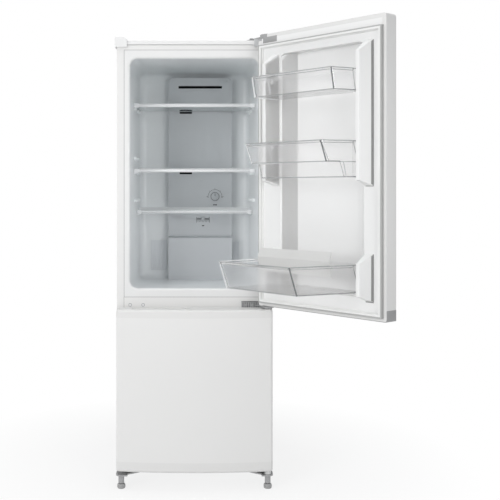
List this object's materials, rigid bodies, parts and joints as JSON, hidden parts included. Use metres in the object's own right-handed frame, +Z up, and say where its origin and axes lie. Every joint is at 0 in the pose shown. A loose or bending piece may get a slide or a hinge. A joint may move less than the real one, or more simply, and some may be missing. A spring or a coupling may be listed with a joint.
{
  "type": "bottom freezer refrigerator",
  "caption": "Upright two-door refrigerator with a freezer below, bowed doors, glass shelves, clear door bins and levelling feet; the fridge door stands open.",
  "frame": {"origin": "on the floor, in the middle of the cabinet's width and depth", "axes": "+Z up, +Y towards the back, +X to the right as seen from the front"},
  "size_m": [0.8012, 0.9687, 1.411],
  "materials": {
    "white_paint": "gloss",
    "white_lid": "satin",
    "galvanised": "satin",
    "foam": "matte",
    "liner_plastic": "satin",
    "cover_plastic": "matte",
    "aluminium": "satin",
    "heater_metal": "satin",
    "black_plastic": "matte",
    "drawer_plastic": "satin",
    "black_paint": "satin",
    "black_rubber": "matte",
    "hinge_steel": "satin",
    "gray_plastic": "satin",
    "foot_plastic": "satin",
    "clear_plastic": "gloss",
    "frosted_plastic": "satin",
    "gasket_rubber": "matte",
    "cap_plastic": "satin",
    "shelf_glass": "gloss",
    "trim_plastic": "satin"
  },
  "bodies": {
    "cabinet": {"side_panel_left": "white_paint", "side_panel_right": "white_paint", "top_panel": "white_paint", "cabinet_lid": "white_lid", "back_panel": "galvanised", "base_panel": "galvanised", "compressor_tray": "galvanised", "cabinet_foam": "foam", "fridge_liner": "liner_plastic", "freezer_liner": "liner_plastic", "front_rails": "white_paint", "spare_hinge_cap": "white_lid", "hole_plugs": "white_lid", "air_duct_cover": "cover_plastic", "freezer_back_cover": "cover_plastic", "evaporator": "aluminium", "defrost_heater": "heater_metal", "fan_motor": "black_plastic", "freezer_drawer_top": "drawer_plastic", "freezer_drawer_middle": "drawer_plastic", "freezer_drawer_bottom": "drawer_plastic", "compressor": "black_paint", "compressor_grommets": "black_rubber", "evaporation_tray": "black_plastic", "top_hinge_bracket": "hinge_steel", "top_hinge_cover": "gray_plastic", "middle_hinge_bracket": "hinge_steel", "lower_hinge_bracket": "hinge_steel", "leg_bracket_left": "hinge_steel", "rear_feet": "gray_plastic", "hinge_screws": "hinge_steel"},
    "fridge_door": {"fridge_door_skin": "white_paint", "fridge_door_foam": "foam", "fridge_door_liner": "liner_plastic", "fridge_door_gasket": "gasket_rubber", "fridge_door_top_cap": "cap_plastic", "fridge_door_bottom_cap": "cap_plastic", "fridge_door_bushes": "white_lid"},
    "freezer_door": {"freezer_door_skin": "white_paint", "freezer_door_foam": "foam", "freezer_door_liner": "liner_plastic", "freezer_door_gasket": "gasket_rubber", "freezer_door_top_cap": "cap_plastic", "freezer_door_bottom_cap": "cap_plastic", "freezer_door_bushes": "white_lid"},
    "top_bin": {"top_bin": "clear_plastic"},
    "middle_bin": {"middle_bin": "clear_plastic"},
    "bottle_pocket": {"bottle_pocket": "clear_plastic", "bottle_divider": "frosted_plastic"},
    "shelf_top": {"shelf_top_glass": "shelf_glass", "shelf_top_trim": "trim_plastic"},
    "shelf_middle": {"shelf_middle_glass": "shelf_glass", "shelf_middle_trim": "trim_plastic"},
    "shelf_low": {"shelf_low_glass": "shelf_glass", "shelf_low_trim": "trim_plastic"},
    "temperature_dial": {"temperature_dial": "cover_plastic"},
    "airflow_slider": {"airflow_slider": "cover_plastic"},
    "fan_blade": {"fan_blade": "black_plastic"},
    "foot_left": {"foot_left": "foot_plastic"},
    "foot_right": {"foot_right": "foot_plastic"}
  },
  "joints": [
    {"name": "fridge_door_hinge", "type": "hinge", "parent": "cabinet", "child": "fridge_door", "pos_m": [0.228, -0.288, 0.99], "axis": [0, 0, 1], "range_deg": [-131, 9]},
    {"name": "freezer_door_hinge", "type": "hinge", "parent": "cabinet", "child": "freezer_door", "pos_m": [0.228, -0.288, 0.31], "axis": [0, 0, 1], "range_deg": [0, 135]},
    {"name": "top_bin_lift", "type": "slide", "parent": "fridge_door", "child": "top_bin", "axis": [0, 0, 1], "range_m": [0, 0.04]},
    {"name": "middle_bin_lift", "type": "slide", "parent": "fridge_door", "child": "middle_bin", "axis": [0, 0, 1], "range_m": [0, 0.04]},
    {"name": "bottle_pocket_lift", "type": "slide", "parent": "fridge_door", "child": "bottle_pocket", "axis": [0, 0, 1], "range_m": [0, 0.04]},
    {"name": "shelf_top_slide", "type": "slide", "parent": "cabinet", "child": "shelf_top", "axis": [0, -1, 0], "range_m": [0, 0.165]},
    {"name": "shelf_middle_slide", "type": "slide", "parent": "cabinet", "child": "shelf_middle", "axis": [0, -1, 0], "range_m": [0, 0.165]},
    {"name": "shelf_low_slide", "type": "slide", "parent": "cabinet", "child": "shelf_low", "axis": [0, -1, 0], "range_m": [0, 0.18]},
    {"name": "temperature_dial_turn", "type": "hinge", "parent": "cabinet", "child": "temperature_dial", "pos_m": [0.073, 0.104, 0.905], "axis": [0, -1, 0], "range_deg": [-120, 120]},
    {"name": "airflow_slider_slide", "type": "slide", "parent": "cabinet", "child": "airflow_slider", "axis": [1, 0, 0], "range_m": [-0.016, 0.016]},
    {"name": "fan_spin", "type": "hinge", "parent": "cabinet", "child": "fan_blade", "pos_m": [0, 0.094, 0.448], "axis": [0, -1, 0], "continuous": true},
    {"name": "foot_left_level", "type": "slide", "parent": "cabinet", "child": "foot_left", "axis": [0, 0, 1], "range_m": [-0.012, 0]},
    {"name": "foot_right_level", "type": "slide", "parent": "cabinet", "child": "foot_right", "axis": [0, 0, 1], "range_m": [-0.012, 0]}
  ]
}
